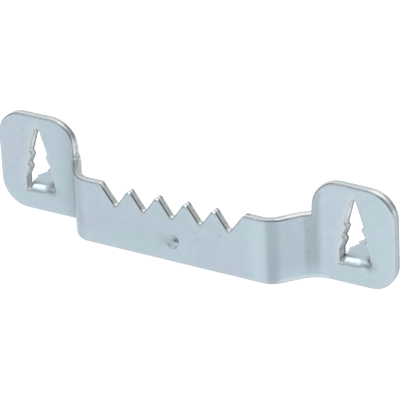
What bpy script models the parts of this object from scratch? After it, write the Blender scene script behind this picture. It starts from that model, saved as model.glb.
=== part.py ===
"""Nail-less sawtooth picture hanger: one stamped and bent strip of zinc-plated steel.

Metres, +Z up, standing on its lower edge with the teeth up. The origin is on the bar's lower edge, in the
middle of the strip's length and of the sheet's thickness. X runs along the strip, and the prongs point to
+Y, into the wood of a picture frame. The strip is made as in the press: a flat blank is cut, given its
thickness and then folded.
"""

import math

import bmesh
import bpy
from mathutils import Vector

# Strip
sheet = 0.00085
overall_length = 0.0445

# End tabs, whose width is measured on the flat blank
tab_height = 0.01048
tab_blank_width = 0.009
tab_corner_radius = 0.0028
tab_inner_radius = 0.003

# Raised bar and the two webs that carry it ahead of the tabs
bar_height = 0.00686
bar_rise = 0.00357
inner_corner_radius = 0.0004

# Bends of the two ends, which the press leaves unlike; bend radii are inside radii
left_bar_length = 0.00986
left_bar_bend_radius = 0.00177
left_tab_bend_radius = 0.0008
left_web_angle = math.radians(57.6)
right_bar_length = 0.00953
right_bar_bend_radius = 0.0016
right_tab_bend_radius = 0.0032
right_web_angle = math.radians(50.5)

# The punch that cuts the teeth and the centre mark sits this far off the strip's middle
punch_offset = -0.0002

# Sawtooth edge
notch_count = 5
notch_pitch = 0.003175
notch_depth = 0.00226
notch_root_radius = 0.00028
tooth_tip_radius = 0.0003
shoulder_radius = 0.0004

# Round centre mark pressed into the bar: a ring groove that leaves a nub in its middle
mark_radius = 0.00084
mark_depth = 0.00017
mark_height = 0.00227

# Barbed prongs, cut from the tabs on three sides and bent back
left_prong_place = 0.0177
left_prong_angle = math.radians(88.0)
right_prong_place = 0.0178
right_prong_angle = math.radians(88.0)
hinge_height = 0.0016
prong_length = 0.00807
prong_bend_radius = 0.0004
neck_width = 0.0027
neck_spare = 0.00033
barb_count = 3
barb_pitch = 0.00145
barb_undercut = 0.00035
barb_step = 0.00025
widest_barb = 0.0032
barb_taper = 0.00057
barb_radius = 0.00006
prong_tip_radius = 0.00025
shear_gap = 0.00005
relief_radius = 0.0002

# Fineness of the facets
corner_turn = math.radians(15.0)
bend_turn = math.radians(6.0)
mark_sides = 24
mark_rings = 6
on_line = 2e-6
sharp_angle = math.radians(35.0)

# The prong on the blank, as distances above its hinge line
prong_bend_middle = prong_bend_radius + sheet / 2
neck_length = prong_bend_middle * max(left_prong_angle, right_prong_angle) + neck_spare
first_barb = neck_length + barb_undercut


class End:
    """One end of the strip, with its folded path worked out along the middle of the sheet's thickness.

    The fold lines on the flat blank are distances from the blank's middle."""

    def __init__(
        self, side, bar_length, bar_bend_radius, tab_bend_radius, web_angle, prong_place, prong_angle
    ):
        self.side = side
        self.bar_bend_radius = bar_bend_radius
        self.tab_bend_radius = tab_bend_radius
        self.web_angle = web_angle
        self.prong_angle = prong_angle
        self.bar_bend_middle = bar_bend_radius + sheet / 2
        self.tab_bend_middle = tab_bend_radius + sheet / 2
        middles = self.bar_bend_middle + self.tab_bend_middle
        web_length = (bar_rise - middles * (1 - math.cos(web_angle))) / math.sin(web_angle)
        web_run = middles * math.sin(web_angle) + web_length * math.cos(web_angle)
        self.bar_end = bar_length
        self.web_begin = bar_length + self.bar_bend_middle * web_angle
        self.web_end = self.web_begin + web_length
        self.tab_begin = self.web_end + self.tab_bend_middle * web_angle
        self.tab_start = bar_length + web_run
        self.blank_end = self.tab_begin + overall_length / 2 - self.tab_start
        self.prong_middle = side * (self.tab_begin + prong_place - self.tab_start)
        self.prong_bend_length = prong_bend_middle * prong_angle


left_end = End(
    -1, left_bar_length, left_bar_bend_radius, left_tab_bend_radius, left_web_angle,
    left_prong_place, left_prong_angle,
)
right_end = End(
    1, right_bar_length, right_bar_bend_radius, right_tab_bend_radius, right_web_angle,
    right_prong_place, right_prong_angle,
)
ends = (left_end, right_end)


def clear_scene():
    for item in list(bpy.data.objects):
        bpy.data.objects.remove(item, do_unlink=True)


def rounded(corners):
    """Closed outline through corners given as (u, v, radius), with an arc where there is a radius."""
    points = []
    for index, (u, v, radius) in enumerate(corners):
        here = Vector((u, v))
        before = Vector(corners[index - 1][:2]) - here
        after = Vector(corners[(index + 1) % len(corners)][:2]) - here
        if radius == 0:
            points.append(here)
            continue
        half = before.angle(after) / 2
        middle = here + (before.normalized() + after.normalized()).normalized() * (radius / math.sin(half))
        reach = radius / math.tan(half)
        start = here + before.normalized() * reach - middle
        turn = start.angle_signed(here + after.normalized() * reach - middle)
        steps = max(2, math.ceil(abs(turn) / corner_turn))
        for step in range(steps + 1):
            points.append(middle + rotated(start, -turn * step / steps))
    return points


def rotated(arrow, angle):
    cosine = math.cos(angle)
    sine = math.sin(angle)
    return Vector((arrow.x * cosine - arrow.y * sine, arrow.x * sine + arrow.y * cosine))


def tab_corners(end):
    """Corners of one tab on the blank, from its lower outer one up and in to the bar's edge."""
    tab_inner = end.blank_end - tab_blank_width
    corners = [
        (end.blank_end, 0, tab_corner_radius),
        (end.blank_end, tab_height, tab_corner_radius),
        (tab_inner, tab_height, tab_inner_radius),
        (tab_inner, bar_height, inner_corner_radius),
    ]
    return [(end.side * u, v, radius) for u, v, radius in corners]


def blank_outline():
    """Outer edge of the flat blank, from the lower right corner round to the lower left one."""
    pattern_end = punch_offset + notch_count * notch_pitch / 2
    teeth = [(pattern_end, bar_height, shoulder_radius)]
    for index in range(notch_count):
        root = pattern_end - (index + 0.5) * notch_pitch
        teeth.append((root, bar_height - notch_depth, notch_root_radius))
        teeth.append((root - notch_pitch / 2, bar_height, tooth_tip_radius))
    teeth[-1] = (*teeth[-1][:2], shoulder_radius)
    return rounded(tab_corners(right_end) + teeth + tab_corners(left_end)[::-1])


def barbed_side(inset):
    """Right side of the barbed tree from its first barb to the last, drawn in by a clearance."""
    side = []
    for index in range(barb_count):
        barb = first_barb + index * barb_pitch
        half_width = widest_barb / 2 - index * barb_taper / 2 - inset
        if index > 0:
            side.append((half_width - barb_step, barb - barb_undercut, barb_radius))
        side.append((half_width, barb, barb_radius))
    return side


def prong_slot(middle):
    """Gap that is cut round one prong: out along the opening, back along the prong's own edge."""
    neck = neck_width / 2
    opening = [(neck, 0, 0), (widest_barb / 2, 0, relief_radius)] + barbed_side(0)
    prong = [(neck, neck_length, 0)] + barbed_side(shear_gap)
    tip = [(0, prong_length, prong_tip_radius)]
    prong_tip = [(0, prong_length - 2 * shear_gap, prong_tip_radius)]
    outside = opening + tip + mirrored(opening)
    inside = prong + prong_tip + mirrored(prong)
    corners = outside + list(reversed(inside))
    return [Vector((middle + point.x, hinge_height + point.y)) for point in rounded(corners)]


def mirrored(side):
    return [(-u, v, radius) for u, v, radius in reversed(side)]


def circle(middle, radius, sides):
    turns = (2 * math.pi * index / sides for index in range(sides))
    return [middle + radius * Vector((math.cos(turn), math.sin(turn))) for turn in turns]


def add_loop(mesh, points):
    """Closed loop of edges on the blank, drawn in the XZ plane."""
    corners = [mesh.verts.new((point.x, 0, point.y)) for point in points]
    edges = [mesh.edges.new((corners[index - 1], corner)) for index, corner in enumerate(corners)]
    return corners, edges


def mark_middle():
    return Vector((punch_offset, mark_height))


def cut_blank():
    """Flat blank with its outline, its two prong slots and the rings of the centre mark."""
    mesh = bmesh.new()
    edges = add_loop(mesh, blank_outline())[1]
    for end in ends:
        edges += add_loop(mesh, prong_slot(end.prong_middle))[1]
    rim, rim_edges = add_loop(mesh, circle(mark_middle(), mark_radius, mark_sides))
    bmesh.ops.triangle_fill(mesh, use_beauty=True, edges=edges + rim_edges, normal=(0, -1, 0))
    disc = mesh.faces.new(rim)
    for ring in range(mark_rings - 1):
        bmesh.ops.inset_individual(mesh, faces=[disc], thickness=mark_radius / mark_rings)
    bmesh.ops.poke(mesh, faces=[disc])
    return mesh


def score(mesh, geometry, place, normal):
    """New edges where a straight fold line crosses the given part of the blank."""
    bmesh.ops.bisect_plane(mesh, geom=geometry, dist=on_line, plane_co=place, plane_no=normal)


def everything(mesh):
    return mesh.verts[:] + mesh.edges[:] + mesh.faces[:]


def fold_lines(start, length, angle):
    steps = math.ceil(angle / bend_turn)
    return [start + length * step / steps for step in range(steps + 1)]


def score_strip(mesh):
    for end in ends:
        lines = fold_lines(end.bar_end, end.web_begin - end.bar_end, end.web_angle)
        lines += fold_lines(end.web_end, end.tab_begin - end.web_end, end.web_angle)
        for line in lines:
            score(mesh, everything(mesh), (end.side * line, 0, 0), (1, 0, 0))
    score(mesh, everything(mesh), (0, 0, hinge_height), (0, 0, 1))


def prong_faces(mesh, middle):
    """Faces of one prong, reached from its hinge line upwards."""
    hinge = [edge for edge in mesh.edges if on_hinge(edge, middle)]
    found = {face for edge in hinge for face in edge.link_faces if face.calc_center_median().z > hinge_height}
    waiting = list(found)
    while waiting:
        for edge in waiting.pop().edges:
            if edge not in hinge:
                fresh = set(edge.link_faces) - found
                found |= fresh
                waiting += fresh
    return list(found)


def on_hinge(edge, middle):
    reach = neck_width / 2 + on_line
    places = [vertex.co for vertex in edge.verts]
    return all(abs(place.z - hinge_height) < on_line and abs(place.x - middle) < reach for place in places)


def score_prongs(mesh, marks):
    """Score both prongs' bends, and mark their points with the side that they are on."""
    for end in ends:
        faces = prong_faces(mesh, end.prong_middle)
        for line in fold_lines(hinge_height, end.prong_bend_length, end.prong_angle):
            edges = {edge for face in faces for edge in face.edges}
            corners = {vertex for face in faces for vertex in face.verts}
            score(mesh, list(corners) + list(edges) + faces, (0, 0, line), (0, 0, 1))
            faces = prong_faces(mesh, end.prong_middle)
        for face in faces:
            for vertex in face.verts:
                vertex[marks] = end.side


def press_mark(mesh):
    """Ring groove of the centre mark, pressed through the sheet."""
    for vertex in mesh.verts:
        reach = (Vector((vertex.co.x, vertex.co.z)) - mark_middle()).length
        if reach < mark_radius:
            vertex.co.y += mark_depth * math.sin(math.pi * reach / mark_radius) ** 2


def end_at(u):
    return right_end if u > 0 else left_end


def folded_prong(u, depth, v):
    """Point of a prong after its bend, which turns about a line behind the tab."""
    radius = prong_bend_radius - depth
    bend_length = end_at(u).prong_bend_length
    along = v - hinge_height
    turn = min(along, bend_length) / prong_bend_middle
    straight = max(along - bend_length, 0)
    y = prong_bend_radius - radius * math.cos(turn) + straight * math.sin(turn)
    z = hinge_height + radius * math.sin(turn) + straight * math.cos(turn)
    return folded_strip(u, 0, 0).x, y, z


def folded_strip(u, depth, v):
    """Point of the strip after its four bends, measured from the plane of the tabs' back faces.

    The depth is 0 at the sheet's back face and -sheet at its front."""
    end = end_at(u)
    along = abs(u)
    if along <= end.web_end:
        turn = min(max(along - end.bar_end, 0) / end.bar_bend_middle, end.web_angle)
        radius = end.bar_bend_radius - depth
        straight = max(along - end.web_begin, 0)
        x = min(along, end.bar_end) + radius * math.sin(turn) + straight * math.cos(turn)
        y = end.bar_bend_radius - bar_rise - radius * math.cos(turn) + straight * math.sin(turn)
    else:
        turn = max(end.tab_begin - along, 0) / end.tab_bend_middle
        radius = end.tab_bend_radius + sheet + depth
        x = end.tab_start + max(along - end.tab_begin, 0) - radius * math.sin(turn)
        y = radius * math.cos(turn) - end.tab_bend_radius - sheet
    return Vector((end.side * x, y, v))


def press_strip():
    """The whole hanger: cut, score, thicken, press the mark and fold."""
    mesh = cut_blank()
    marks = mesh.verts.layers.int.new("prong")
    score_strip(mesh)
    score_prongs(mesh, marks)
    grown = bmesh.ops.extrude_face_region(mesh, geom=mesh.faces[:], use_keep_orig=True)["geom"]
    front = [item for item in grown if isinstance(item, bmesh.types.BMVert)]
    bmesh.ops.translate(mesh, verts=front, vec=(0, -sheet, 0))
    press_mark(mesh)
    for vertex in mesh.verts:
        fold = folded_prong if vertex[marks] else folded_strip
        vertex.co = fold(*vertex.co)
    bmesh.ops.triangulate(mesh, faces=mesh.faces[:])
    bmesh.ops.recalc_face_normals(mesh, faces=mesh.faces[:])
    return mesh


def zinc_plating():
    material = bpy.data.materials.new("zinc_plating")
    material.use_nodes = True
    shader = material.node_tree.nodes["Principled BSDF"]
    shader.inputs["Base Color"].default_value = (0.48, 0.57, 0.63, 1)
    shader.inputs["Metallic"].default_value = 1.0
    shader.inputs["Roughness"].default_value = 0.42
    return material


def main():
    clear_scene()
    solid = press_strip()
    shape = bpy.data.meshes.new("hanger_strip")
    solid.to_mesh(shape)
    solid.free()
    shape.shade_smooth()
    shape.set_sharp_from_angle(angle=sharp_angle)
    shape.materials.append(zinc_plating())
    strip = bpy.data.objects.new("hanger_strip", shape)
    strip.location.y = bar_rise + sheet / 2
    bpy.context.collection.objects.link(strip)


main()
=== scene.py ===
import math

import bpy
import numpy as np
from mathutils import Matrix, Vector, geometry, kdtree


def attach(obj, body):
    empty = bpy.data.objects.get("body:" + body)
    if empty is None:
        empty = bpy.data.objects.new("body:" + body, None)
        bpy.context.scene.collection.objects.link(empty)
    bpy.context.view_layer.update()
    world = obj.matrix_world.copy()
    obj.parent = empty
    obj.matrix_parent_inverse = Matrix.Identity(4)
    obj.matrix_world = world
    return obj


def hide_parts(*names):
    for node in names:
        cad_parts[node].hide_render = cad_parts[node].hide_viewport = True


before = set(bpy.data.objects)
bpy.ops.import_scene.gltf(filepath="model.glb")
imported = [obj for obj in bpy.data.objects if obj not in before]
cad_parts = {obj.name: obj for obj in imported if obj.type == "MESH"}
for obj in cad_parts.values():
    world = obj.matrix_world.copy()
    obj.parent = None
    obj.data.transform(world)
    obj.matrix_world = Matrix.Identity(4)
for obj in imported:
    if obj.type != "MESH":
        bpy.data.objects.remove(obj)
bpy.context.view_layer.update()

print("frame loaded:", sorted(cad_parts))


# Node trees: a Wire is a value on its way through one, so that sums read as sums

class Wire:
    def __init__(self, socket):
        self.socket = socket

    def step(self, operation, *others):
        return mathStep(self.socket.id_data, operation, self, *others)

    def __add__(self, other):
        return self.step("ADD", other)

    def __sub__(self, other):
        return self.step("SUBTRACT", other)

    def __rsub__(self, other):
        return mathStep(self.socket.id_data, "SUBTRACT", other, self)

    def __mul__(self, other):
        return self.step("MULTIPLY", other)

    def __truediv__(self, other):
        return self.step("DIVIDE", other)

    def atLeast(self, low):
        return self.step("MAXIMUM", low)

    def atMost(self, high):
        return self.step("MINIMUM", high)

    def above(self, limit):
        return self.step("GREATER_THAN", limit)

    def sine(self):
        return self.step("SINE")

    def cosine(self):
        return self.step("COSINE")

    def parts(self, *names):
        node = addNode(self.socket.id_data, "ShaderNodeSeparateXYZ", Vector=self)
        return [Wire(node.outputs[name]) for name in names]

    def ramp(self, start, end, low=0.0, high=1.0):  # soft step from low to high
        node = self.socket.id_data.nodes.new("ShaderNodeMapRange")
        node.interpolation_type = "SMOOTHSTEP"
        for socket, value in zip(node.inputs, (self, start, end, low, high)):
            feed(socket, value)
        return Wire(node.outputs[0])


def feed(socket, value):
    if isinstance(value, Wire):
        socket.id_data.links.new(value.socket, socket)
    else:
        socket.default_value = value


def mathStep(tree, operation, *values):
    node = tree.nodes.new("ShaderNodeMath")
    node.operation = operation
    for socket, value in zip(node.inputs, values):
        feed(socket, value)
    return Wire(node.outputs[0])


def addNode(tree, kind, settings=None, **inputs):
    node = tree.nodes.new(kind)
    for name, value in (settings or {}).items():
        setattr(node, name, value)
    for name, value in inputs.items():
        feed(node.inputs[name], value)
    return node


def source(tree, kind, output):
    return Wire(tree.nodes.new(kind).outputs[output])


# The strip, in millimetres and degrees, with its blank measured flat: u along it, v up it

millimetre = 0.001

strip = {
    "sheet": 0.85,
    "length": 44.5,
    "tabBlank": 9.0, "tabHeight": 10.48, "tabCorner": 2.8, "tabInner": 3.0,
    "barHeight": 6.86, "barRise": 3.57,
    "topDrop": 0.028, "topSlope": 0.008, "topDropMost": 0.14,
    "innerCorner": 0.2,
    "notches": 5, "notchPitch": 3.175, "notchDepth": 2.26, "notchRoot": 0.28,
    "toothTip": 0.3, "shoulder": 0.4,
    "markRadius": 0.84, "markDepth": 0.16, "markHeight": 2.22,
    "pitAcross": 0.35, "pitUp": 0.2, "pitRadius": 0.32, "pitDepth": 0.15,
    "punchOffset": -0.215,
}

# The press leaves the two ends unlike
leftEnd = {
    "side": -1, "barLength": 9.86, "barBend": 1.77, "tabBend": 0.8, "webAngle": 57.6,
    "tabTop": (10.48, 10.50), "shoulderOut": 0.09, "prongPlace": 17.7, "slotDrag": 0.07,
    # place across and width of the painted shade at this end's right slot foot
    "hingeShadeAside": 1.2, "hingeShadeWidth": 0.55,
    # painted shade across this end's bar bend, web and tab bend
    "barBendShade": (0.0, 0.5, 0.5, 1.0, 0.6), "webShade": 0.0, "tabBendShade": (0.0, 0.4, 0.45, 1.0, 0.6),
}
rightEnd = {
    "side": 1, "barLength": 9.53, "barBend": 1.6, "tabBend": 3.2, "webAngle": 50.5,
    "tabTop": (10.42, 10.54), "shoulderOut": 0.06, "prongPlace": 17.8, "slotDrag": 0.17,
    # place across and width of the painted shade at this end's right slot foot
    "hingeShadeAside": 1.45, "hingeShadeWidth": 0.45,
    # painted shade across this end's bar bend, web and tab bend
    "barBendShade": (0.2, 0.42, 0.68, 1.05, 1.0), "webShade": 0.4, "tabBendShade": (0.02, 0.22, 0.5, 0.8, 1.0),
}

prong = {
    "hinge": 1.6,
    "length": 8.07,
    "bend": 0.4,
    "angle": 88.0,
    "neck": 2.7, "neckSpare": 0.33, "neckRound": 0.05,
    "slotFoot": 0.40, "shortFoot": 0.90,
    "scoop": 0.45, "scoopRun": (0.15, 1.1), "scoopFade": 3.2,
    "drawnGap": 0.02, "drawnAside": 0.45, "drawnAbove": 0.5,
    "barbs": 3, "barbPitch": 1.45, "barbUndercut": 0.35, "barbStep": 0.25, "barbRound": 0.06,
    "widest": 3.2, "taper": 0.57,
    "tipRound": 0.25,
    "gap": 0.05,
    "relief": 0.2,
    "dragDown": 0.025, "dragFrom": 0.5,
    "sharp": 0.001,
}

# Cut edge of the sheet: the die rolls the front over, then comes a burnished band and a torn one
cutEdge = {
    "rollWidth": 0.36, "rollDepth": 0.072,
    "cornerRound": 0.035,
    "burnishEnd": 0.40,
    "tearStep": 0.06,
    "tornTaper": 0.03, "tornRough": 0.02,
    "backRound": 0.03, "backInset": 0.7, "backLift": 0.3,
    "roughBand": (0.42, 0.6), "roughScale": 9000.0, "roughDetail": 3.0,
    "tipRoll": 0.2, "tipRollWidth": 0.34, "tipRollCurve": 1.6,
    "frontRings": (0.006, 0.015, 0.027, 0.045, 0.09, 0.15, 0.23, 0.32, 0.42),
    "backRings": (0.09, 0.2),
    "outlineStep": 0.13, "slotStep": 0.09, "leastStep": 0.01,
    "cornerTurn": 9.0, "cornerSteps": 3, "cornerDrag": 0.12, "cornerDragAside": 1.5,
    "cornerDragRise": 0.5, "cornerDragTop": 0.9, "cornerDragFall": 1.4,
    "dragReach": 0.5, "dragCurve": 1.5,
    "seed": 4,
}

# How densely the two faces of the sheet are meshed
meshing = {
    "cell": 0.1,
    "ringShare": 0.93, "ringThin": 0.6,
    "gridSteps": (0.45, 0.45), "gridReach": 0.3,
    "bendSteps": (0.16, 0.3), "bendReach": 0.12,
    "prongSteps": (0.12, 0.07), "prongMargin": 0.15, "prongReach": 0.06,
    "markSpokes": 36, "markRings": 14, "markInside": 12, "markReach": 0.03,
    "fieldFrom": 1.02, "fieldShare": 0.3,
    "merge": 1e-7,
}

# Where painted highlights and painted shade lie on the blank: five numbers are a soft rise and fall and its
# height, three or four are a spot's place, its width and, where it isn't whole, its share
paintedPlaces = {
    # painted highlights on the tooth tips and notch roots
    "toothedPast": 0.06,
    "tipFrom": 0.5, "tipOver": 0.25,
    "rootFrom": 0.45, "rootOver": 0.2,
    # painted shade in the punch's pit
    "pitEdge": 1.15,
    # painted shade at the feet of the prong slots
    "leftHingeShade": (-1.5, 0.25, 0.15),
    "hingeShadeShare": 0.72, "hingeShadeClimb": 0.9, "scuffSize": 0.55,
    # a paler band beside each slot's left edge, a painted reflection of its wide roll
    "paleWidth": 0.9, "paleFoot": 0.25, "paleNeck": 0.35, "palePast": 0.3,
    # painted light on the hinge, above and below its highlight, and on the low right web
    "hingeAcross": (-1, 0, 1.3, 1.7, 1.0),
    "hingeBands": ((0.05, 0.2, 0.45, 0.6, 0.4), (0.7, 0.8, 0.9, 1.05, 0.7)),
    # the slot walls, which carry painted light and painted shade
    "slotAside": 2.4, "slotFrom": 0.2, "slotPast": 0.5,
    # painted sheen on the right bar bend, the right tab and beside the mark, and painted light low down
    "bendSheen": (9.1, 0.75, 0.75),
    "tabSheen": (15.4, 16.6, 17.2, 19.5, 0.3),
    "markSheen": (1.05, 1.9, 0.9, 0.45),
    "lowFull": 1.3, "lowHeight": 1.5, "lowSheen": (-24.5, -24, 1.5, 3, 0.6),
    "webRun": (10.6, 11.4, 15.5, 16.8, 1.0), "webLight": (-2, -1, 0.25, 0.5, 0.9),
    # painted highlights on the right web's top edge and at the tabs' top corners
    "webHighlight": (11.7, 12.4, 14.2, 14.8, 0.9), "webHighlightDown": 1,
    "glints": ((-16.64, 10.15, 0.7), (21.7, 10.3, 0.9)),
    # painted shade across the webs and left of the mark
    "webShade": (-0.3, 0.0, 1.0, 1.2),
    "markShade": (-1.0, 2.2, 0.5, 0.5),
    # painted shade in the left crease
    "creaseAside": 0.1, "creaseWidth": 1.25,
}

# Fold lines on the flat blank, as distances from its middle
for end in (leftEnd, rightEnd):
    barMiddle = end["barBend"] + strip["sheet"] / 2
    tabMiddle = end["tabBend"] + strip["sheet"] / 2
    turn = math.radians(end["webAngle"])
    webLength = (strip["barRise"] - (barMiddle + tabMiddle) * (1 - math.cos(turn))) / math.sin(turn)
    tabStart = end["barLength"] + (barMiddle + tabMiddle) * math.sin(turn) + webLength * math.cos(turn)
    end["webBegin"] = end["barLength"] + barMiddle * turn
    end["webEnd"] = end["webBegin"] + webLength
    end["tabBegin"] = end["webEnd"] + tabMiddle * turn
    end["blankEnd"] = end["tabBegin"] + strip["length"] / 2 - tabStart
    end["prongMiddle"] = end["side"] * (end["tabBegin"] + end["prongPlace"] - tabStart)

neckLength = (prong["bend"] + strip["sheet"] / 2) * math.radians(prong["angle"]) + prong["neckSpare"]


def roundCorners(corners):
    points = []
    for index, (u, v, radius) in enumerate(corners):
        here = Vector((u, v))
        before = (Vector(corners[index - 1][:2]) - here).normalized()
        after = (Vector(corners[(index + 1) % len(corners)][:2]) - here).normalized()
        half = before.angle(after) / 2
        middle = here + (before + after).normalized() * (radius / math.sin(half))
        start = here + before * (radius / math.tan(half)) - middle
        end = here + after * (radius / math.tan(half)) - middle
        turn = math.atan2(start.cross(end), start.dot(end))
        steps = max(cutEdge["cornerSteps"], math.ceil(abs(turn) / math.radians(cutEdge["cornerTurn"])))
        for step in range(steps + 1):
            points.append(middle + Matrix.Rotation(turn * step / steps, 2) @ start)
    return points


def spread(points, step):  # no two neighbours further apart than the step, and none twice
    dense = []
    for index, here in enumerate(points):
        run = points[(index + 1) % len(points)] - here
        if run.length > step * cutEdge["leastStep"]:
            parts = math.ceil(run.length / step)
            dense += [here + run * part / parts for part in range(parts)]
    return dense


def barTop(u):  # the punch cut the bar's upper edge a little lower towards the left
    return strip["barHeight"] - np.clip(strip["topDrop"] - strip["topSlope"] * u, 0, strip["topDropMost"])


def tabCorners(end):
    tabInner = end["blankEnd"] - strip["tabBlank"]
    corners = [
        (end["blankEnd"], 0, strip["tabCorner"]),
        (end["blankEnd"], end["tabTop"][0], strip["tabCorner"]),
        (tabInner, end["tabTop"][1], strip["tabInner"]),
        (tabInner, barTop(end["side"] * tabInner), strip["innerCorner"]),
    ]
    return [(end["side"] * u, v, radius) for u, v, radius in corners]


def stripOutline():
    patternEnd = strip["punchOffset"] + strip["notches"] * strip["notchPitch"] / 2
    teeth = [(patternEnd + rightEnd["shoulderOut"], barTop(patternEnd), strip["shoulder"])]
    for index in range(strip["notches"]):
        root = patternEnd - (index + 0.5) * strip["notchPitch"]
        tip = root - strip["notchPitch"] / 2
        teeth.append((root, barTop(root) - strip["notchDepth"], strip["notchRoot"]))
        teeth.append((tip, barTop(tip), strip["toothTip"]))
    teeth[-1] = (tip - leftEnd["shoulderOut"], barTop(tip), strip["shoulder"])
    corners = tabCorners(rightEnd) + teeth + tabCorners(leftEnd)[::-1]
    return spread(roundCorners(corners), cutEdge["outlineStep"])


def mirrored(side):
    return [(-u, v, radius) for u, v, radius in reversed(side)]


def barbedSide(inset):
    side = []
    for index in range(prong["barbs"]):
        barb = neckLength + prong["barbUndercut"] + index * prong["barbPitch"]
        halfWidth = prong["widest"] / 2 - index * prong["taper"] / 2 - inset
        if index > 0:
            side.append((halfWidth - prong["barbStep"], barb - prong["barbUndercut"], prong["barbRound"]))
        side.append((halfWidth, barb, prong["barbRound"]))
    return side


def slotOutline(middle):  # the cut round one prong, with the sheet on its left
    neck = prong["neck"] / 2
    feet = []
    for foot in (prong["shortFoot"], prong["slotFoot"]):
        feet.append([(neck, foot, prong["neckRound"]), (prong["widest"] / 2, foot, prong["relief"])])
    tongue = [(neck, neckLength, prong["barbRound"])] + barbedSide(prong["gap"])
    tip = [(0, prong["length"], prong["tipRound"])]
    tongueTip = [(0, prong["length"] - 2 * prong["gap"], prong["tipRound"])]
    slotSide = feet[0] + barbedSide(0) + tip + mirrored(feet[1] + barbedSide(0))
    tongueSide = tongue + tongueTip + mirrored(tongue)
    loop = spread(roundCorners(list(reversed(slotSide)) + tongueSide), cutEdge["slotStep"])
    return [point + Vector((middle, prong["hinge"])) for point in loop]


def tongueOutline(middle):  # half way across the cut round one prong, closed at its foot
    neck = prong["neck"] / 2 + prong["neckRound"]
    foot = [(neck, prong["slotFoot"], prong["sharp"]), (neck, neckLength, prong["sharp"])]
    tongue = foot + barbedSide(prong["gap"] / 2)
    tip = [(0, prong["length"] - prong["gap"], prong["tipRound"])]
    loop = roundCorners(tongue + tip + mirrored(tongue))
    return np.array(loop) + np.array((middle, prong["hinge"]))


def inside(points, loops):  # even-odd test against closed loops
    crossings = np.zeros(len(points), int)
    for loop in loops:
        start = np.asarray(loop)
        end = np.roll(start, -1, axis=0)
        for (u1, v1), (u2, v2) in zip(start, end):
            if v1 == v2:
                continue
            between = (points[:, 1] > min(v1, v2)) & (points[:, 1] <= max(v1, v2))
            reach = u1 + (points[:, 1] - v1) * (u2 - u1) / (v2 - v1)
            crossings += between & (points[:, 0] < reach)
    return crossings % 2 == 1


def inwardArrows(loop):  # the sheet is on the left of the loop
    points = np.array(loop)
    run = np.roll(points, -1, axis=0) - np.roll(points, 1, axis=0)
    arrows = np.column_stack((-run[:, 1], run[:, 0]))
    return arrows / np.linalg.norm(arrows, axis=1)[:, None]


def gridPoints(low, high, steps):
    counts = [max(1, round((high[axis] - low[axis]) / steps[axis])) for axis in (0, 1)]
    across = np.linspace(low[0], high[0], counts[0] + 1)
    upward = np.linspace(low[1], high[1], counts[1] + 1)
    return np.array([(u, v) for u in across for v in upward])


class Thinner:  # refuses a point that is too close to one it has taken
    def __init__(self, cell):
        self.cell = cell
        self.taken = {}

    def take(self, point, reach):
        u, v = (math.floor(value / self.cell) for value in point)
        span = math.ceil(reach / self.cell)
        for du in range(-span, span + 1):
            for dv in range(-span, span + 1):
                for other in self.taken.get((u + du, v + dv), ()):
                    if math.hypot(other[0] - point[0], other[1] - point[1]) < reach:
                        return False
        self.taken.setdefault((u, v), []).append(point)
        return True


def fieldPoints():  # grids on the sheet, finer in the bends, round the prongs' hinges and in the mark
    low = (-leftEnd["blankEnd"], 0)
    high = (rightEnd["blankEnd"], strip["tabHeight"])
    fields = [(gridPoints(low, high, meshing["gridSteps"]), meshing["gridReach"])]
    for end in (leftEnd, rightEnd):
        for start, stop in ((end["barLength"], end["webBegin"]), (end["webEnd"], end["tabBegin"])):
            field = gridPoints((start, 0), (stop, strip["tabHeight"]), meshing["bendSteps"])
            fields.insert(0, (field * (end["side"], 1), meshing["bendReach"]))
        aside = prong["neck"] / 2 + prong["drawnAside"] + meshing["prongMargin"]
        hingeLow = (end["prongMiddle"] - aside, prong["hinge"] - meshing["prongMargin"])
        hingeHigh = (end["prongMiddle"] + aside, prong["hinge"] + neckLength)
        field = gridPoints(hingeLow, hingeHigh, meshing["prongSteps"])
        fields.insert(0, (field, meshing["prongReach"]))
    mark = np.array((strip["punchOffset"], strip["markHeight"]))
    turns = [math.radians(360 / meshing["markSpokes"] * spoke) for spoke in range(meshing["markSpokes"])]
    for ring in range(1, meshing["markRings"] + 1):
        radius = strip["markRadius"] * ring / meshing["markInside"]
        disc = [mark + radius * np.array((math.cos(turn), math.sin(turn))) for turn in turns]
        fields.insert(0, (np.array(disc), meshing["markReach"]))
    return fields


def faceMesh(loops, rings):  # flat mesh of one side of the sheet: points, distances from the edge, faces
    border = np.vstack(loops)
    tree = kdtree.KDTree(len(border))
    for index, (u, v) in enumerate(border):
        tree.insert((u, v, 0), index)
    tree.balance()
    arrows = np.vstack([inwardArrows(loop) for loop in loops])
    thinner = Thinner(meshing["cell"])
    points = [tuple(point) for point in border]
    gaps = [0.0] * len(points)
    last = 0.0
    for ring in rings:
        for point in border + arrows * ring:
            gap = tree.find((point[0], point[1], 0))[2]
            spacing = (ring - last) * meshing["ringThin"]
            if gap > ring * meshing["ringShare"] and thinner.take(tuple(point), spacing):
                points.append(tuple(point))
                gaps.append(ring)
        last = ring
    for field, reach in fieldPoints():
        for point in field[inside(field, loops)]:
            gap = tree.find((point[0], point[1], 0))[2]
            least = rings[-1] * meshing["fieldFrom"] + reach * meshing["fieldShare"]
            if gap > least and thinner.take(tuple(point), reach):
                points.append(tuple(point))
                gaps.append(gap)
    edges = []
    first = 0
    for loop in loops:
        edges += [(first + index, first + (index + 1) % len(loop)) for index in range(len(loop))]
        first += len(loop)
    flat = [Vector(point) for point in points]
    made = geometry.delaunay_2d_cdt(flat, edges, [], 0, meshing["merge"], True)
    origins = [found[0] for found in made[3]]
    corners = np.array([[origins[corner] for corner in face] for face in made[2]])
    places = np.array(points)
    corners = corners[inside(places[corners].mean(axis=1), loops)]
    return places, np.array(gaps), corners


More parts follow.
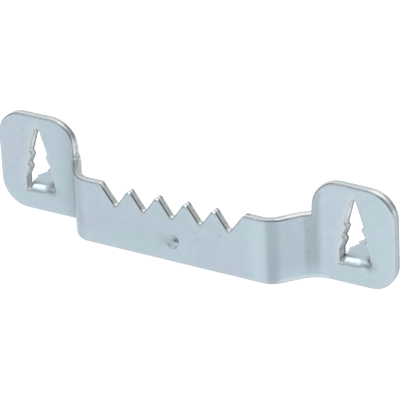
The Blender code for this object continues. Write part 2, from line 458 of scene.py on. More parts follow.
def wallDrag(loops):  # how far the press drags each border point along at the back
    drags = [0 * loops[0]]
    u, v = loops[0].T
    aside = np.abs(u + leftEnd["tabBegin"])
    nearCorner = (aside < cutEdge["cornerDragAside"]) & (v > strip["barHeight"])
    rise = np.clip((v - strip["barHeight"]) / cutEdge["cornerDragRise"], 0, 1)
    fall = np.clip((strip["tabHeight"] - cutEdge["cornerDragTop"] - v) / cutEdge["cornerDragFall"], 0, 1)
    drags[0][:, 0] = -cutEdge["cornerDrag"] * nearCorner * (rise * fall)
    for loop, end in zip(loops[1:], (leftEnd, rightEnd)):
        hinge = np.array((end["prongMiddle"], prong["hinge"]))
        foot = np.where(loop[:, :1] > hinge[0], prong["shortFoot"], prong["slotFoot"])
        climb = np.clip((loop[:, 1:] - hinge[1] - foot) / prong["dragFrom"], 0, 1)
        drag = (hinge - loop) * (end["slotDrag"], prong["dragDown"]) * climb**2 * (3 - 2 * climb)
        drag[inside(loop, [tongueOutline(end["prongMiddle"])])] = 0
        drags.append(drag)
    return np.vstack(drags)


def followDrag(places, gaps, border, drag):  # the back follows its dragged edge
    shift = np.zeros((len(places), 2))
    for index in np.nonzero(gaps < cutEdge["dragReach"])[0]:
        nearest = np.argmin(np.hypot(*(border - places[index]).T))
        shift[index] = drag[nearest] * (1 - gaps[index] / cutEdge["dragReach"])
    return shift


def frontDrop(gap):  # how far the front is rolled back at this distance from the edge
    roll = cutEdge["rollDepth"] * np.clip(1 - gap / cutEdge["rollWidth"], 0, 1) ** 2
    radius = cutEdge["cornerRound"]
    short = np.clip(radius - gap, 0, radius)
    return roll + radius - np.sqrt(radius**2 - short**2)


def tipDrop(places):  # a tooth's tip is rolled back further than the rest of the edge
    aside = np.abs(places[:, 0] - strip["punchOffset"])
    above = places[:, 1] - barTop(places[:, 0])
    atTip = aside < (strip["notches"] - 1) / 2 * strip["notchPitch"]
    halfTooth = math.atan(strip["notchPitch"] / 2 / strip["notchDepth"])
    cutBack = strip["toothTip"] * (1 / math.sin(halfTooth) - 1)  # what the tip's radius takes off the point
    rise = np.clip((above + cutBack) / cutEdge["tipRollWidth"] + 1, 0, 1)
    return cutEdge["tipRoll"] * atTip * rise ** cutEdge["tipRollCurve"]


def hump(place, rise, full, fall, end, height):  # soft rise and fall along a line
    up, down = (np.clip((place - low) / (high - low), 0, 1) for low, high in ((rise, full), (fall, end)))
    return height * up**2 * (3 - 2 * up) * (1 - down**2 * (3 - 2 * down))


def spot(u, v, along, up, radius):  # soft round spot, 1 in its middle
    return np.exp(-(((u - along) ** 2 + (v - up) ** 2) / radius**2))


def flatBlank():  # points, depths in the sheet, notes on each point, and faces of the finished blank
    sheet = strip["sheet"]
    loops = [np.array(stripOutline())]
    loops += [np.array(slotOutline(end["prongMiddle"])) for end in (leftEnd, rightEnd)]
    arrows = np.vstack([inwardArrows(loop) for loop in loops])
    border = np.vstack(loops)
    drag = wallDrag(loops)
    frontPlaces, frontGaps, frontFaces = faceMesh(loops, cutEdge["frontRings"])
    backPlaces, backGaps, backFaces = faceMesh(loops, cutEdge["backRings"])
    start = float(frontDrop(np.array(0.0)))
    torn = cutEdge["burnishEnd"]
    backEdge = sheet - cutEdge["backRound"]
    depths = [(start + torn) / 2, torn, torn + cutEdge["tearStep"], (torn + backEdge) / 2, backEdge]
    rows = [(frontPlaces, frontDrop(frontGaps) + tipDrop(frontPlaces), 0 * frontGaps, frontGaps)]
    for depth in depths:
        inset = cutEdge["tornTaper"] * min(max((depth - torn) / (backEdge - torn), 0), 1)
        share = np.full(len(border), (depth - start) / (backEdge - start))
        moved = border + arrows * inset + drag * share[:, None] ** cutEdge["dragCurve"]
        rows.append((moved, depth + tipDrop(border) * (1 - share), share, 0 * share))
    nearBack = backGaps == 0
    backMoved = backPlaces + followDrag(backPlaces, backGaps, border, drag)
    backMoved[: len(border)] += arrows * (cutEdge["tornTaper"] + cutEdge["backRound"] * cutEdge["backInset"])
    backDepth = np.where(nearBack, sheet - cutEdge["backRound"] * cutEdge["backLift"], sheet)
    rows.append((backMoved, backDepth, np.where(nearBack, 1.0, 0.0), backGaps))
    places, depth, shear, gaps = (np.concatenate(column) for column in zip(*rows))
    firsts = np.cumsum([0] + [len(row[0]) for row in rows])
    faces = frontFaces.tolist()
    faces += (backFaces[:, ::-1] + firsts[-2]).tolist()
    for upper, lower in zip(firsts[:-2], firsts[1:-1]):
        begin = 0
        for loop in loops:
            for index in range(len(loop)):
                here = begin + index
                there = begin + (index + 1) % len(loop)
                faces.append((upper + here, lower + here, lower + there, upper + there))
            begin += len(loop)
    cutPlaces = np.vstack([frontPlaces] + [border] * (len(rows) - 2) + [backPlaces])
    notes = {"shear": shear, "edgeGap": gaps} | bending(places, cutPlaces) | paintedMarks(cutPlaces, depth)
    return places, depth, notes, faces


def bending(places, cutPlaces):  # which points belong to a prong, and painted shade on the bends, beside the mark and in the left crease
    u, v = places.T
    onProng = np.zeros(len(places))
    bend = np.zeros(len(places))
    for end in (leftEnd, rightEnd):
        onProng[inside(cutPlaces, [tongueOutline(end["prongMiddle"])])] = 1
        along = end["side"] * u
        barBend = (along - end["barLength"]) / (end["webBegin"] - end["barLength"])
        web = (along - end["webBegin"]) / (end["webEnd"] - end["webBegin"])
        tabBend = (along - end["webEnd"]) / (end["tabBegin"] - end["webEnd"])
        # painted shade across this end's bends and web
        bend += hump(barBend, *end["barBendShade"])
        bend += hump(web, *paintedPlaces["webShade"], end["webShade"])
        bend += hump(tabBend, *end["tabBendShade"])
    # painted shade left of the mark
    *shadeSpot, share = paintedPlaces["markShade"]
    bend += share * spot(u, v, *shadeSpot)
    # painted shade in the left crease
    creaseMiddle = (leftEnd["webEnd"] + leftEnd["tabBegin"]) / 2 - paintedPlaces["creaseAside"]
    crease = np.exp(-(((u + creaseMiddle) / paintedPlaces["creaseWidth"]) ** 2))
    return {"onProng": onProng, "bend": bend, "crease": crease}


def paintedMarks(places, depth):  # painted highlights, painted light and painted shade on the blank: tooth tips, glints, pit, slots, hinges and low parts
    u, v = places.T
    front = depth < strip["sheet"] / 2
    offset = u - strip["punchOffset"]
    # painted highlights on the tooth tips and notch roots
    toothed = np.abs(offset) < (strip["notches"] / 2 + paintedPlaces["toothedPast"]) * strip["notchPitch"]
    above = v - barTop(u)
    tip = np.clip((above + paintedPlaces["tipFrom"]) / paintedPlaces["tipOver"], 0, 1)
    root = np.clip((paintedPlaces["rootFrom"] - strip["notchDepth"] - above) / paintedPlaces["rootOver"], 0, 1)
    worn = toothed * np.maximum(tip, root)
    # painted shade in the punch's pit
    pitGap = np.hypot(offset - strip["pitAcross"], v - strip["markHeight"] - strip["pitUp"])
    pit = front * np.clip(paintedPlaces["pitEdge"] - pitGap / strip["pitRadius"], 0, 1)
    scuff, pale, paintedLight, slotEdge = np.zeros((4, len(places)))
    climb = v - prong["hinge"]
    for end in (leftEnd, rightEnd):
        aside = u - end["prongMiddle"]
        # painted shade at both feet of each prong slot
        rightHingeShade = (end["hingeShadeAside"], end["hingeShadeWidth"], paintedPlaces["hingeShadeShare"])
        for middle, width, share in (paintedPlaces["leftHingeShade"], rightHingeShade):
            gap = np.hypot((aside - middle) / width, (climb - paintedPlaces["hingeShadeClimb"]) / paintedPlaces["scuffSize"])
            scuff = np.maximum(scuff, share * np.exp(-(gap**2)))
        # paler painted reflection beside each slot's left edge
        heights = (prong["slotFoot"], neckLength + paintedPlaces["paleNeck"], prong["length"])
        edge = np.interp(climb, heights, (-prong["neck"] / 2 - paintedPlaces["paleFoot"], -prong["widest"] / 2, 0))
        close = np.clip(1 - np.abs(edge - aside) / paintedPlaces["paleWidth"], 0, 1)
        upProng = (climb > prong["slotFoot"]) & (climb < prong["length"])
        pale = np.maximum(pale, front * close * (aside < edge + paintedPlaces["palePast"]) * upProng)
        # painted light on the hinge, above and below its highlight
        across = hump(np.abs(aside), *paintedPlaces["hingeAcross"])
        for band in paintedPlaces["hingeBands"]:
            paintedLight = np.maximum(paintedLight, across * hump(climb, *band))
        # slot walls, which get painted light and painted shade
        upSlot = (climb > paintedPlaces["slotFrom"]) & (climb < prong["length"] + paintedPlaces["slotPast"])
        slotEdge = np.maximum(slotEdge, (np.abs(aside) < paintedPlaces["slotAside"]) & upSlot)
    # painted sheen on the right bar bend, the right tab and beside the mark
    middle, width, share = paintedPlaces["bendSheen"]
    sheen = share * np.exp(-(((u - middle) / width) ** 2)) + hump(u, *paintedPlaces["tabSheen"])
    *brightSpot, share = paintedPlaces["markSheen"]
    sheen += share * spot(u, v, *brightSpot)
    # painted light low on the left tab, the bar and the right web
    low = np.clip(paintedPlaces["lowFull"] - v / paintedPlaces["lowHeight"], 0, 1)
    webRun = hump(u, *paintedPlaces["webRun"])
    sheen += low * (hump(u, *paintedPlaces["lowSheen"]) + webRun)
    paintedLight = np.maximum(paintedLight, front * webRun * hump(v, *paintedPlaces["webLight"]))
    # painted highlights at the tabs' top corners
    for glint in paintedPlaces["glints"]:
        worn = np.maximum(worn, spot(u, v, *glint))
    # painted highlight on the right web's top edge
    webTop = v > strip["barHeight"] - paintedPlaces["webHighlightDown"]
    worn = np.maximum(worn, hump(u, *paintedPlaces["webHighlight"]) * webTop)
    return {"worn": worn, "pit": pit, "scuff": scuff, "pale": pale, "sheen": sheen, "paintedLight": paintedLight,
            "slotEdge": slotEdge}


def blankObject():
    places, depth, notes, faces = flatBlank()
    points = np.column_stack((places[:, 0], depth - strip["sheet"], places[:, 1]))
    mesh = bpy.data.meshes.new("hangerBlank")
    mesh.from_pydata((points * millimetre).tolist(), [], faces)
    for name, values in notes.items():
        layer = mesh.attributes.new(name, "FLOAT", "POINT")
        layer.data.foreach_set("value", values.astype(np.float32))
    layer = mesh.attributes.new("blank", "FLOAT_VECTOR", "POINT")
    layer.data.foreach_set("vector", points.astype(np.float32).ravel())
    mesh.shade_smooth()
    blank = bpy.data.objects.new("hanger_strip_dressed", mesh)
    bpy.context.scene.collection.objects.link(blank)
    print("blank cut:", len(points), "points,", len(faces), "faces")
    return blank


# Press: presses the mark and folds the flat blank

def pressTree():
    tree = bpy.data.node_groups.new("hangerPress", "GeometryNodeTree")
    tree.interface.new_socket("Geometry", in_out="INPUT", socket_type="NodeSocketGeometry")
    sizes = {
        "Sheet": strip["sheet"], "Bar Rise": strip["barRise"],
        "Mark Radius": strip["markRadius"], "Mark Depth": strip["markDepth"],
        "Mark Height": strip["markHeight"], "Mark Offset": strip["punchOffset"],
        "Pit Across": strip["pitAcross"], "Pit Up": strip["pitUp"],
        "Pit Radius": strip["pitRadius"], "Pit Depth": strip["pitDepth"],
        "Hinge Height": prong["hinge"], "Prong Bend": prong["bend"], "Torn Rough": cutEdge["tornRough"],
        "Slot Foot": prong["slotFoot"], "Short Foot": prong["shortFoot"], "Scoop": prong["scoop"],
        "Neck Half": prong["neck"] / 2 + prong["neckRound"] + prong["drawnGap"],
        "Drawn Aside": prong["drawnAside"], "Drawn Above": prong["drawnAbove"],
    }
    angles = {"Prong Angle": math.radians(prong["angle"])}
    for name, end in (("Left", leftEnd), ("Right", rightEnd)):
        sizes[name + " Bar Length"] = end["barLength"]
        sizes[name + " Bar Bend"] = end["barBend"]
        sizes[name + " Tab Bend"] = end["tabBend"]
        sizes[name + " Prong Middle"] = end["prongMiddle"]
        angles[name + " Web Angle"] = math.radians(end["webAngle"])
    settings = {name: value * millimetre for name, value in sizes.items()} | angles
    settings["Seed"] = float(cutEdge["seed"])
    for name in settings:
        tree.interface.new_socket(name, in_out="INPUT", socket_type="NodeSocketFloat")
    tree.interface.new_socket("Finish", in_out="INPUT", socket_type="NodeSocketMaterial")
    tree.interface.new_socket("Geometry", in_out="OUTPUT", socket_type="NodeSocketGeometry")
    entry = tree.nodes.new("NodeGroupInput")
    value = {name: Wire(entry.outputs[name]) for name in settings}

    def attribute(name):
        node = addNode(tree, "GeometryNodeInputNamedAttribute", {"data_type": "FLOAT"}, Name=name)
        return Wire(node.outputs["Attribute"])

    # torn band of the cut edge, roughened along its own normals
    place = source(tree, "GeometryNodeInputPosition", "Position")
    grain = addNode(tree, "ShaderNodeTexNoise", {"noise_dimensions": "4D"}, Vector=place, W=value["Seed"],
                    Scale=cutEdge["roughScale"], Detail=cutEdge["roughDetail"])
    tornBand = attribute("shear").ramp(*cutEdge["roughBand"])
    rough = (Wire(grain.outputs["Fac"]) - 0.5) * value["Torn Rough"] * tornBand
    push = addNode(tree, "ShaderNodeVectorMath", {"operation": "SCALE"},
                   Vector=source(tree, "GeometryNodeInputNormal", "Normal"), Scale=rough)
    torn = addNode(tree, "GeometryNodeSetPosition", Geometry=Wire(entry.outputs["Geometry"]),
                   Offset=Wire(push.outputs["Vector"]))

    # ring groove of the mark, with the pit left by the punch's point
    u, depth, v = source(tree, "GeometryNodeInputPosition", "Position").parts("X", "Y", "Z")
    across = u - value["Mark Offset"]
    rise = v - value["Mark Height"]
    reach = ((across * across + rise * rise).step("SQRT") / value["Mark Radius"]).atMost(1.0)
    wave = (reach * math.pi).sine()
    across = across - value["Pit Across"]
    rise = rise - value["Pit Up"]
    pit = ((across * across + rise * rise).step("SQRT") / value["Pit Radius"]).ramp(0.0, 1.0, 1.0, 0.0)
    depth = depth + value["Mark Depth"] * wave * wave + value["Pit Depth"] * pit

    # the strip's four bends, worked out on the right half with the values of the end that the point is on
    leftward = 1 - u.above(0.0)

    def endValue(name):
        right = value["Right " + name]
        return right + leftward * (value["Left " + name] - right)

    sheet = value["Sheet"]
    angle = endValue("Web Angle")
    barBend = endValue("Bar Bend")
    tabBend = endValue("Tab Bend")
    barMid = barBend + sheet * 0.5
    tabMid = tabBend + sheet * 0.5
    straightWeb = (value["Bar Rise"] - (barMid + tabMid) * (1 - angle.cosine())) / angle.sine()
    bendFrom = endValue("Bar Length")
    webFrom = bendFrom + barMid * angle
    webTo = webFrom + straightWeb
    tabFrom = webTo + tabMid * angle
    tabAt = bendFrom + (barMid + tabMid) * angle.sine() + straightWeb * angle.cosine()
    along = u.step("ABSOLUTE")
    turn = ((along - bendFrom) / barMid).atLeast(0.0).atMost(angle)
    radius = barBend - depth
    straight = (along - webFrom).atLeast(0.0)
    nearX = along.atMost(bendFrom) + radius * turn.sine() + straight * turn.cosine()
    nearY = barBend - value["Bar Rise"] - radius * turn.cosine() + straight * turn.sine()
    turnBack = (tabFrom - along).atLeast(0.0) / tabMid
    radiusBack = tabBend + sheet + depth
    farX = tabAt + (along - tabFrom).atLeast(0.0) - radiusBack * turnBack.sine()
    farY = radiusBack * turnBack.cosine() - tabBend - sheet
    far = along.above(webTo)
    bentX = (nearX + far * (farX - nearX)) * u.step("SIGN")
    bentY = nearY + far * (farY - nearY)

    # the two prongs turn about a line behind the tab, and draw in the sheet round the feet of their slots
    lifted = attribute("onProng").above(0.5)
    prongTurn = value["Prong Angle"]
    prongMid = value["Prong Bend"] + sheet * 0.5
    whole = (v - value["Hinge Height"]).atLeast(0.0)
    across = u - endValue("Prong Middle")
    foot = value["Slot Foot"] + across.above(0.0) * (value["Short Foot"] - value["Slot Foot"])
    above = (whole - foot).atLeast(0.0)
    scoop = value["Scoop"] * across.ramp(*(value["Neck Half"] * share for share in prong["scoopRun"]))

    def late(height):  # the bend starts later towards the short foot
        fade = height.ramp(value["Scoop"], value["Scoop"] * prong["scoopFade"], 1.0, 0.0)
        return (height - scoop * fade).atLeast(0.0)

    whole = late(whole)
    short = whole.atMost(late(foot))
    climb = short + lifted * (whole - short)
    bow = (climb / prongMid).atMost(prongTurn)
    run = (climb - prongMid * prongTurn).atLeast(0.0)
    reachOut = value["Prong Bend"] - depth
    pullY = value["Prong Bend"] - reachOut * bow.cosine() + run * bow.sine() - depth
    pullZ = reachOut * bow.sine() + run * bow.cosine() - climb
    aside = across.step("ABSOLUTE") - value["Neck Half"]
    drawn = aside.ramp(0.0, value["Drawn Aside"], 1.0, 0.0)
    drawn = drawn * above.ramp(0.0, value["Drawn Above"], 1.0, 0.0)
    share = lifted.atLeast(drawn)
    finalY = bentY + share * pullY + value["Bar Rise"] + sheet * 0.5
    finalZ = v + share * pullZ
    final = addNode(tree, "ShaderNodeCombineXYZ", X=bentX, Y=finalY, Z=finalZ)
    folded = addNode(tree, "GeometryNodeSetPosition", Geometry=Wire(torn.outputs["Geometry"]),
                     Position=Wire(final.outputs["Vector"]))
    realized = addNode(tree, "GeometryNodeRealizeInstances", Geometry=Wire(folded.outputs["Geometry"]))
    dressed = addNode(tree, "GeometryNodeSetMaterial", Geometry=Wire(realized.outputs["Geometry"]),
                      Material=Wire(entry.outputs["Finish"]))
    leave = tree.nodes.new("NodeGroupOutput")
    tree.links.new(dressed.outputs["Geometry"], leave.inputs["Geometry"])
    return tree, settings


def pressed(blank, finish):
    tree, settings = pressTree()
    press = blank.modifiers.new("press", "NODES")
    press.node_group = tree
    for item in tree.interface.items_tree:
        if item.in_out == "INPUT" and item.name in settings:
            press[item.identifier] = settings[item.name]
        elif item.in_out == "INPUT" and item.name == "Finish":
            press[item.identifier] = finish
    shown = blank.evaluated_get(bpy.context.evaluated_depsgraph_get())
    mesh = bpy.data.meshes.new_from_object(shown)
    mesh.name = blank.name
    blank.modifiers.remove(press)
    flat = blank.data
    blank.data = mesh
    bpy.data.meshes.remove(flat)
    print("strip pressed:", len(mesh.vertices), "points,", len(mesh.polygons), "faces")
    return blank


# Zinc plating with painted light and shade, with the blank's own millimetres as its coordinates so that the
# grain follows the bends

zinc = {
    "blue": (0.465, 0.560, 0.624, 1),
    "green": (0.458, 0.570, 0.606, 1),
    "lilac": (0.482, 0.554, 0.630, 1),
    # a dull random mottle, and painted shade on the bends, beside the mark and on the right tab's far edge
    "dullAndShade": (0.350, 0.426, 0.475, 1),
    # painted sheen
    "bright": (0.543, 0.653, 0.718, 1),
    # painted shade in the left crease
    "creaseShade": (0.250, 0.310, 0.350, 1),
    # painted reflection of the rolled edges, paler near every edge
    "rolled": (0.540, 0.585, 0.620, 1),
    # painted reflection of the wide roll beside the slots
    "pale": (0.600, 0.620, 0.640, 1),
    "burnished": (0.640, 0.690, 0.710, 1),
    # painted light on the hinges and the low right web
    "paintedLight": (0.620, 0.710, 0.765, 1),
    # painted highlights and painted light on the cut edge
    "worn": (0.940, 0.960, 0.960, 1),
    "torn": (0.590, 0.635, 0.640, 1),
    # painted shade: the line along the rolled front, the pit and the back edges of slots and tooth tips
    "paintedShade": (0.120, 0.140, 0.150, 1),
    # painted shade at the feet of the prong slots
    "hingeShadeColour": (0.130, 0.155, 0.170, 1),
    # speck colour, also laid as painted shade on the slot walls' tops and the tabs' edges
    "speck": (0.270, 0.310, 0.320, 1),
    "tintSize": 4.0, "tintDetail": 2.0,
    "lilacTint": (0.50, 0.66), "greenTint": (0.48, 0.34),
    "cloudSize": 0.9, "cloudDetail": 4.0, "cloudFrom": 0.35, "cloudDull": 0.35, "cloudRough": 0.22,
    "cloudHeight": 0.6,
    "grainSize": (1.6, 0.05, 0.05), "grainDetail": 3.0, "grainBand": (0.62, 0.78), "grainDull": 0.10,
    "grainRough": 0.10, "grainHeight": 0.35,
    "peelSize": 0.16, "peelDetail": 2.0, "peelHeight": 0.5,
    "speckSize": 1.3, "speckReach": (0.10, 0.04), "speckChance": 0.72, "speckShare": 0.6,
    "speckRough": 0.15, "speckDepth": 0.5,
    "streakSize": (0.09, 1.2, 0.09), "streakDetail": 3.0, "streakHeight": 1.5,
    # shares of the painted sheen, the painted crease shade, the painted edge reflections and the painted pit
    # shade
    "sheenShare": 0.6, "creaseShare": 0.45,
    "rolledGap": (0.5, 0.1), "rolledShare": 0.45,
    "paleShare": 0.55, "pitShadeShare": 0.8,
    "roughness": 0.34, "bendRough": 0.05, "wallSmooth": 0.06, "tornRough": 0.22, "hingeShadeRough": 0.25,
    "leastRough": 0.16, "mostRough": 0.75,
    "bump": 0.25, "bumpDistance": 0.00004,
}

# Looks of the cut edge; a pair is where a soft step begins and ends, in millimetres on the blank, or as a
# share of the sheet's thickness or of the way that the surface faces
sheared = {
    "wall": (0.001, 0.03), "torn": (0.36, 0.5),
    # slot walls: painted light low down, painted shade near the top and along the back edge
    "slotTop": (7.4, 8.6), "slotLow": (4.4, 3.6), "slotLight": 0.6, "slotTopLess": 0.45,
    "slotLowMore": 0.35, "slotTopDark": 0.35, "slotBack": (0.6, 0.9), "slotBackDark": 0.8,
    "slotLowLess": 0.3,
    # painted highlights, fainter on the torn band
    "highlightShare": 0.85, "highlightTornLess": 0.45,
    # painted shade on the tabs' torn edges where they face right
    "leftTab": (-13.5, -15.0), "leftTabDark": 0.8,
    "rightTab": (13.5, 15.0), "rightTabDark": 0.26,
    "tabFacing": (0.25, 0.65),
    # painted light on the crease's top edge
    "creaseTop": (9.2, 8.4), "creaseLight": 0.6,
    # painted shade on the right tab's far edge
    "farRight": (22.4, 23.2), "farRightShade": 0.9,
    "streaks": (0.45, 0.62), "streakDark": 0.5,
    # painted shade along the back edge of the tooth tips
    "tipRise": (6.2, 6.45), "tipAside": (8.4, 8.0), "tipBack": (0.45, 0.75), "tipDark": 0.75,
    # the right web's top and far corner, with a painted highlight outside the painted shade line
    "webBegin": (10.6, 11.3), "webEnd": (14.9, 14.4), "webRise": (5.6, 6.2),
    "cornerRun": (20.4, 21.6), "cornerRise": (8.0, 9.0),
    "overWidth": 0.1, "overGap": (0.03, -0.02), "overDepth": (0.45, 0.25), "overHighlight": 0.7,
}

# Painted shade: a dark line where the rolled front meets the cut, standing in for the roll's dark
# reflection, in the same terms
paintedEdgeShade = {
    "cornerNarrow": 0.5,
    "outer": (0.12, 0.03), "inner": (-0.06, 0.0), "depth": (0.14, 0.03),
    "share": 0.32,
    "right": (0.08, 0.28), "rightMore": 0.45,
    "left": (-0.06, -0.22), "leftMore": 0.6,
    "down": (-0.03, -0.20), "downLess": 0.2,
    "teeth": (8.6, 8.3), "teethMore": 0.16,
    "creaseLess": 0.6, "highlightLess": 0.65, "slotLess": 0.7,
    "farRightTop": (9.4, 8.4), "farRightLess": 0.55,
    "webBegin": (11.9, 12.5), "webLess": 0.4,
    "cornerTop": (10.4, 9.9), "cornerShare": 0.85,
}


def zincFinish():
    finish = bpy.data.materials.new("zincPlating")
    finish.use_nodes = True
    tree = finish.node_tree
    shader = tree.nodes["Principled BSDF"]
    shader.inputs["Metallic"].default_value = 1.0

    def attribute(name, output="Fac"):
        return Wire(addNode(tree, "ShaderNodeAttribute", {"attribute_name": name}).outputs[output])

    def laidOut(size):  # the blank's coordinates in steps of a size in millimetres, one number or three
        sizes = size if isinstance(size, tuple) else (size,) * 3
        laid = addNode(tree, "ShaderNodeMapping", Vector=blank, Scale=tuple(1 / value for value in sizes))
        return Wire(laid.outputs[0])

    def mottle(name):
        noise = addNode(tree, "ShaderNodeTexNoise", Vector=laidOut(zinc[name + "Size"]), Scale=1.0,
                        Detail=zinc[name + "Detail"])
        return Wire(noise.outputs["Fac"])

    def edgeStep(wire, name):
        return wire.ramp(*sheared[name])

    def blend(share, first, second):
        node = addNode(tree, "ShaderNodeMix", {"data_type": "RGBA"})
        feed(node.inputs[0], share)
        feed(node.inputs[6], first)
        feed(node.inputs[7], second)
        return Wire(node.outputs[2])

    def coated(colour, *coats):  # each coat covers a share of what lies under it
        for share, name in coats:
            colour = blend(share, colour, zinc[name])
        return colour

    blank = attribute("blank", "Vector")
    names = ("shear", "edgeGap", "bend", "crease", "slotEdge", "worn", "scuff")
    shear, gap, bend, crease, slotEdge, worn, scuff = (attribute(name) for name in names)
    along, climb = blank.parts("X", "Z")
    aside = along.step("ABSOLUTE")
    rightward, upward = source(tree, "ShaderNodeNewGeometry", "Normal").parts("X", "Z")
    onWall = edgeStep(shear, "wall")
    torn = edgeStep(shear, "torn")
    names = ("tint", "cloud", "grain", "peel", "streak")  # torn streaks run across the thickness
    tint, cloud, grain, peel, streak = (mottle(name) for name in names)

    # specks: small pits where the plating is thin
    cells = addNode(tree, "ShaderNodeTexVoronoi", Vector=laidOut(zinc["speckSize"]), Scale=1.0)
    chance = Wire(cells.outputs["Color"]).parts("X")[0]
    speck = Wire(cells.outputs["Distance"]).ramp(*zinc["speckReach"]) * chance.above(zinc["speckChance"])

    # faces of the sheet: random tints, mottle and specks, under painted shade, painted sheen, painted light
    # and painted reflections
    clouded = (cloud - zinc["cloudFrom"]).atLeast(0.0) * zinc["cloudDull"]
    plate = coated(
        zinc["blue"],
        (tint.ramp(*zinc["lilacTint"]), "lilac"),
        (tint.ramp(*zinc["greenTint"]), "green"),
        (clouded + grain.ramp(*zinc["grainBand"]) * zinc["grainDull"], "dullAndShade"),
        # painted shade on the bends and beside the mark
        (bend, "dullAndShade"),
        # painted sheen
        (attribute("sheen") * zinc["sheenShare"], "bright"),
        # painted shade in the left crease
        (crease * zinc["creaseShare"], "creaseShade"),
        # painted reflections of the rolled edges and beside the slots
        (gap.ramp(*zinc["rolledGap"]) * zinc["rolledShare"], "rolled"),
        (attribute("pale") * zinc["paleShare"], "pale"),
        # painted light on the hinges and the low right web
        (attribute("paintedLight"), "paintedLight"),
        (speck * zinc["speckShare"], "speck"),
        # painted shade in the pit
        (attribute("pit") * zinc["pitShadeShare"], "paintedShade"),
    )

    # cut edge: painted light on slot walls, tooth tips and crease top, painted shade on tab edges and back
    # edges
    slotTop = edgeStep(climb, "slotTop")
    slotLow = edgeStep(climb, "slotLow")
    slotLight = sheared["slotLight"] - slotTop * sheared["slotTopLess"] + slotLow * sheared["slotLowMore"]
    slotDark = sheared["slotBackDark"] - slotLow * sheared["slotLowLess"]
    leftTab = edgeStep(along, "leftTab") * (1 - slotEdge)
    rightTab = edgeStep(along, "rightTab") * (1 - slotEdge)
    tabDark = leftTab * sheared["leftTabDark"] + rightTab * sheared["rightTabDark"]
    lowCrease = crease * edgeStep(climb, "creaseTop")
    farRight = edgeStep(along, "farRight")
    tooth = edgeStep(climb, "tipRise") * edgeStep(aside, "tipAside")
    edge = coated(
        zinc["burnished"],
        (torn, "torn"),
        (slotEdge * slotLight, "worn"),
        (slotEdge * slotTop * sheared["slotTopDark"], "speck"),
        (worn * (sheared["highlightShare"] - torn * sheared["highlightTornLess"]), "worn"),
        (tabDark * torn * edgeStep(rightward, "tabFacing"), "speck"),
        (lowCrease * sheared["creaseLight"], "worn"),
        (farRight * sheared["farRightShade"], "dullAndShade"),
        (slotEdge * edgeStep(shear, "slotBack") * slotDark, "paintedShade"),
        (edgeStep(streak, "streaks") * torn * sheared["streakDark"], "speck"),
        (tooth * edgeStep(shear, "tipBack") * sheared["tipDark"], "paintedShade"),
    )

    # the right web's top and the far corner: the painted shade line moves in from the edge, with a painted
    # highlight outside it
    webTop = edgeStep(along, "webBegin") * edgeStep(along, "webEnd") * edgeStep(climb, "webRise")
    farCorner = edgeStep(along, "cornerRun") * edgeStep(climb, "cornerRise")
    paintedEdgePlace = webTop.atLeast(farCorner)
    near = gap - paintedEdgePlace * sheared["overWidth"]
    overHighlight = paintedEdgePlace * edgeStep(near, "overGap") * edgeStep(shear, "overDepth") * sheared["overHighlight"]

    # the painted shade line is darker where the edge faces right or left
    seamGap = near * (1 - farCorner * paintedEdgeShade["cornerNarrow"])
    paintedShade = seamGap.ramp(*paintedEdgeShade["outer"]) * seamGap.ramp(*paintedEdgeShade["inner"])
    paintedShade = paintedShade * shear.ramp(*paintedEdgeShade["depth"])
    right = rightward.ramp(*paintedEdgeShade["right"])
    left = rightward.ramp(*paintedEdgeShade["left"])
    strength = right * paintedEdgeShade["rightMore"] + left * paintedEdgeShade["leftMore"] + paintedEdgeShade["share"]
    strength = strength - upward.ramp(*paintedEdgeShade["down"]) * paintedEdgeShade["downLess"]
    strength = strength + aside.ramp(*paintedEdgeShade["teeth"]) * right * paintedEdgeShade["teethMore"]
    farLow = farRight * climb.ramp(*paintedEdgeShade["farRightTop"])
    webFar = webTop * along.ramp(*paintedEdgeShade["webBegin"])
    fainter = {"creaseLess": lowCrease, "highlightLess": worn, "slotLess": slotEdge, "farRightLess": farLow,
               "webLess": webFar}
    for name, place in fainter.items():
        strength = strength * (1 - place * paintedEdgeShade[name])
    strength = strength.atLeast(farCorner * climb.ramp(*paintedEdgeShade["cornerTop"]) * paintedEdgeShade["cornerShare"])
    colour = blend(onWall, plate, edge)
    # painted highlight outside the moved shade line, the painted shade line and painted shade at the slots'
    # feet
    colour = coated(colour, (overHighlight, "worn"), (paintedShade * strength, "paintedShade"), (scuff, "hingeShadeColour"))
    feed(shader.inputs["Base Color"], colour)

    rough = (cloud - 0.5) * zinc["cloudRough"] + (grain - 0.5) * zinc["grainRough"] + zinc["roughness"]
    rough = rough + bend * zinc["bendRough"] + speck * zinc["speckRough"] - onWall * zinc["wallSmooth"]
    rough = rough + torn * zinc["tornRough"] + scuff * zinc["hingeShadeRough"]
    feed(shader.inputs["Roughness"], rough.atLeast(zinc["leastRough"]).atMost(zinc["mostRough"]))

    height = peel * zinc["peelHeight"] + grain * zinc["grainHeight"] + cloud * zinc["cloudHeight"]
    height = height - speck * zinc["speckDepth"] + streak * torn * zinc["streakHeight"]
    bump = addNode(tree, "ShaderNodeBump", Strength=zinc["bump"], Distance=zinc["bumpDistance"],
                   Height=height)
    feed(shader.inputs["Normal"], Wire(bump.outputs["Normal"]))
    print("zinc finish made")
    return finish


# Studio: a white sweep, a darker room in front and one softbox

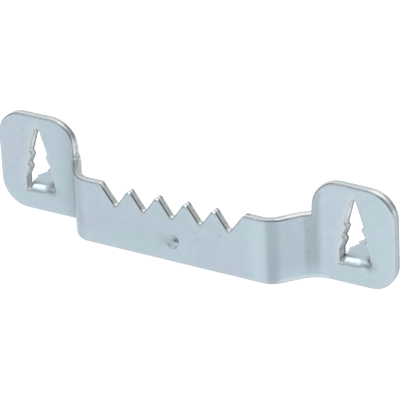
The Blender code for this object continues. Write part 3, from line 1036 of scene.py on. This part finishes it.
studio = {
    "floorSize": 1.2, "floorDrop": 0.00003, "floorColour": (0.42, 0.42, 0.42, 1), "floorRoughness": 0.9,
    "floorLift": 0.725, "floorSlope": 0.12, "floorSlopeRun": (-0.005, 0.025),
    "white": (1, 1, 1, 1),
    "roomFront": (-0.1, -0.4), "roomLow": (-0.10, -0.02), "roomHigh": (0.28, 0.12), "roomDark": 0.88,
    "sideRun": (0.2, 0.6), "sideLow": (-0.06, 0.04), "sideDark": 0.45,
    "topRise": (0.72, 0.9), "topDark": 0.08,
    "leastLevel": 0.03,
    "boxWay": (-0.465, -0.463, 0.755), "boxFar": 0.45, "boxSize": 0.28, "boxPower": 0.34,
}


def rayKinds(tree):  # 1 for camera rays, and for those with the rays off metal and through glass
    path = tree.nodes.new("ShaderNodeLightPath")
    kinds = [Wire(path.outputs[name]) for name in ("Is Camera Ray", "Is Glossy Ray", "Is Transmission Ray")]
    return kinds[0], kinds[0].atLeast(kinds[1]).atLeast(kinds[2])


def makeFloor():
    half = studio["floorSize"] / 2
    corners = [(-half, -half), (half, -half), (half, half), (-half, half)]
    mesh = bpy.data.meshes.new("floor")
    mesh.from_pydata([(x, y, -studio["floorDrop"]) for x, y in corners], [], [(0, 1, 2, 3)])
    floor = bpy.data.objects.new("floor", mesh)
    bpy.context.scene.collection.objects.link(floor)
    paint = bpy.data.materials.new("paleFloor")
    paint.use_nodes = True
    tree = paint.node_tree
    shader = tree.nodes["Principled BSDF"]
    shader.inputs["Base Color"].default_value = studio["floorColour"]
    shader.inputs["Roughness"].default_value = studio["floorRoughness"]
    shader.inputs["Specular IOR Level"].default_value = 0.0
    shader.inputs["Emission Color"].default_value = studio["white"]
    slope = source(tree, "ShaderNodeTexCoord", "Object").parts("X")[0].ramp(*studio["floorSlopeRun"])
    lift = slope * studio["floorSlope"] + studio["floorLift"]
    feed(shader.inputs["Emission Strength"], rayKinds(tree)[1] * lift)
    mesh.materials.append(paint)


def makeWorld():
    world = bpy.data.worlds.new("studio")
    bpy.context.scene.world = world
    world.use_nodes = True
    tree = world.node_tree
    backdrop = tree.nodes["Background"]
    backdrop.inputs["Color"].default_value = studio["white"]
    across, back, up = source(tree, "ShaderNodeTexCoord", "Generated").parts("X", "Y", "Z")
    room = back.ramp(*studio["roomFront"]) * up.ramp(*studio["roomLow"]) * up.ramp(*studio["roomHigh"])
    aside = across.ramp(*studio["sideRun"]) * up.ramp(*studio["sideLow"])
    overhead = up.ramp(*studio["topRise"])
    level = 1 - room * studio["roomDark"] - aside * studio["sideDark"] - overhead * studio["topDark"]
    seen = rayKinds(tree)[0]
    feed(backdrop.inputs["Strength"], seen + (1 - seen) * level.atLeast(studio["leastLevel"]))
    bpy.context.scene.view_settings.view_transform = "Standard"


def makeSoftbox():
    lamp = bpy.data.lights.new("softbox", "AREA")
    lamp.shape = "DISK"
    lamp.size = studio["boxSize"]
    lamp.energy = studio["boxPower"]
    softbox = bpy.data.objects.new("softbox", lamp)
    way = Vector(studio["boxWay"]).normalized()
    softbox.location = way * studio["boxFar"]
    softbox.rotation_euler = way.to_track_quat("Z", "Y").to_euler()
    bpy.context.scene.collection.objects.link(softbox)


photoView = {
    "place": (0.142145, -0.225825, 0.145694),
    "azimuth": 31.6593, "elevation": 27.5477, "roll": -2.9075,
    "lens": 281.54, "sensor": 36.0, "clip": (0.01, 10.0),
}


def makeCamera():
    lens = bpy.data.cameras.new("photoView")
    lens.lens = photoView["lens"]
    lens.sensor_width = photoView["sensor"]
    lens.clip_start, lens.clip_end = photoView["clip"]
    camera = bpy.data.objects.new("photoView", lens)
    turn, lift, roll = (math.radians(photoView[name]) for name in ("azimuth", "elevation", "roll"))
    back = Vector((math.sin(turn) * math.cos(lift), -math.cos(turn) * math.cos(lift), math.sin(lift)))
    level = Vector((math.cos(turn), math.sin(turn), 0))
    upward = back.cross(level)
    right = level * math.cos(roll) + upward * math.sin(roll)
    top = upward * math.cos(roll) - level * math.sin(roll)
    facing = Matrix((right, top, back)).transposed().to_4x4()
    camera.matrix_world = Matrix.Translation(photoView["place"]) @ facing
    bpy.context.scene.collection.objects.link(camera)
    bpy.context.scene.camera = camera


hangerStrip = pressed(blankObject(), zincFinish())
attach(hangerStrip, "root")
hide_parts("hanger_strip")
makeFloor()
makeWorld()
makeSoftbox()
makeCamera()
print("studio and camera set")
